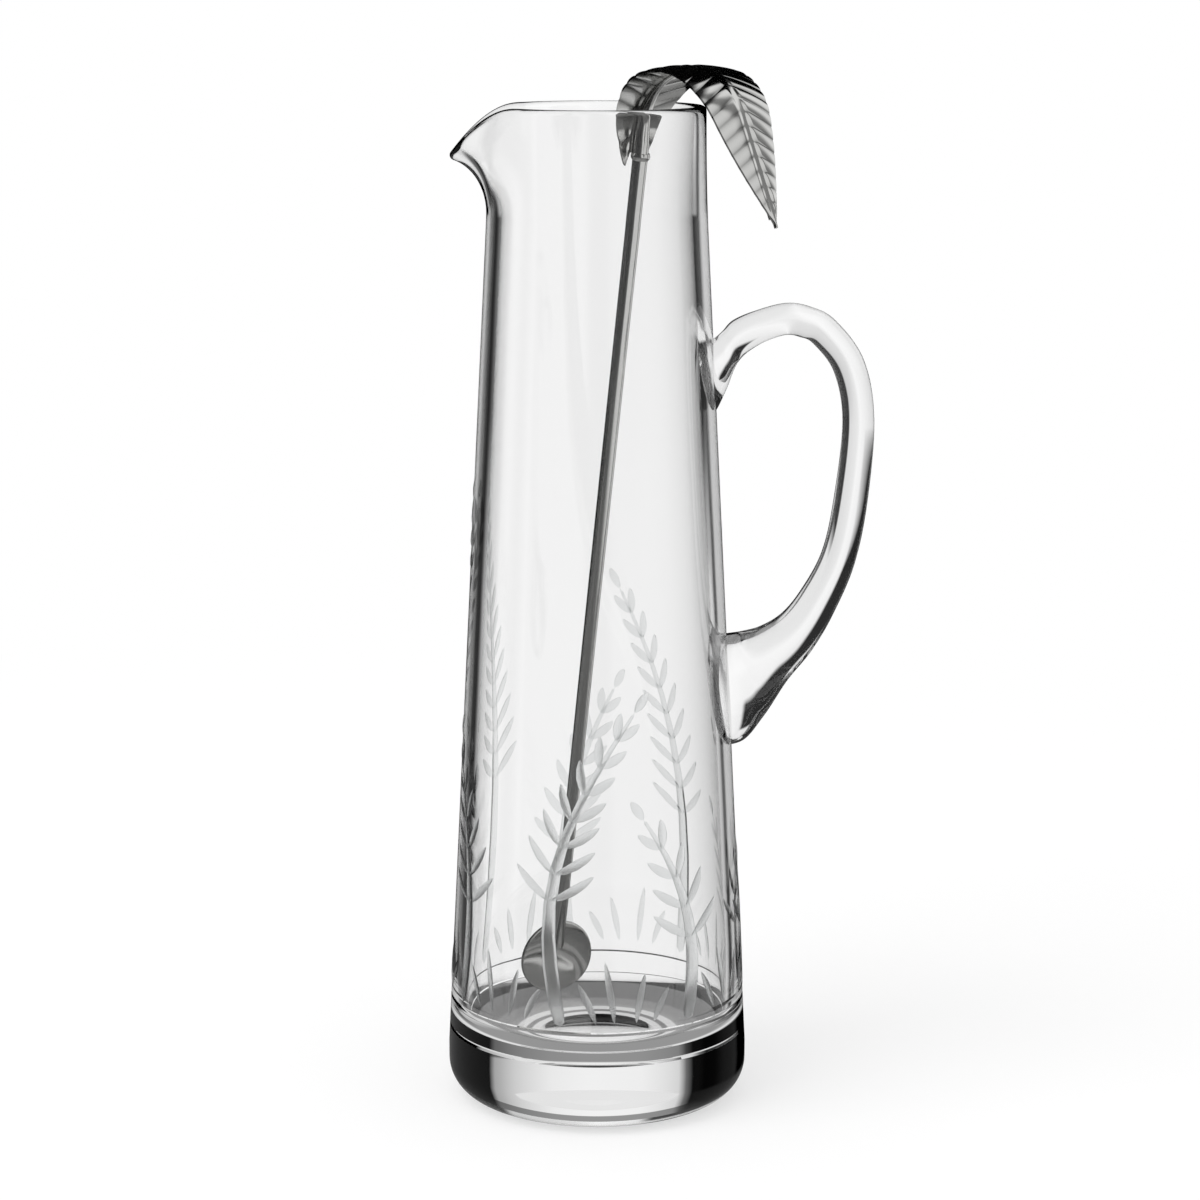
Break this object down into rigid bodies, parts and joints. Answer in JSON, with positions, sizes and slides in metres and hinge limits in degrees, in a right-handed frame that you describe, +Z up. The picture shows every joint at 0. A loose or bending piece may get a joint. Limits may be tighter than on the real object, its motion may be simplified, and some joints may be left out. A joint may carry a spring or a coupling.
{
  "type": "cocktail pitcher",
  "caption": "Tall blown glass cocktail pitcher with a pouring lip, an applied handle and a thick base, holding a metal stirrer whose leaf arches over the rim.",
  "frame": {"origin": "centre of the underside, on the pitcher's axis, in the plane that it stands on", "axes": "+Z up along the pitcher's axis, +X toward the handle, -X toward the lip"},
  "size_m": [0.1277, 0.0929, 0.3126],
  "materials": {
    "body_glass": "clear, polished",
    "handle_glass": "clear, fire polished",
    "rod_metal": "polished",
    "leaf_metal": "polished, embossed",
    "paddle_metal": "polished"
  },
  "bodies": {
    "pitcher": {"pitcher_body": "body_glass", "pitcher_handle": "handle_glass"},
    "stirrer": {"stirrer_rod": "rod_metal", "stirrer_leaf": "leaf_metal", "stirrer_paddle": "paddle_metal"}
  },
  "joints": [
    {"name": "stirrer_lift", "type": "slide", "parent": "pitcher", "child": "stirrer", "axis": [0.1018, -0.0917, 0.9906], "range_m": [0, 0.29]}
  ]
}
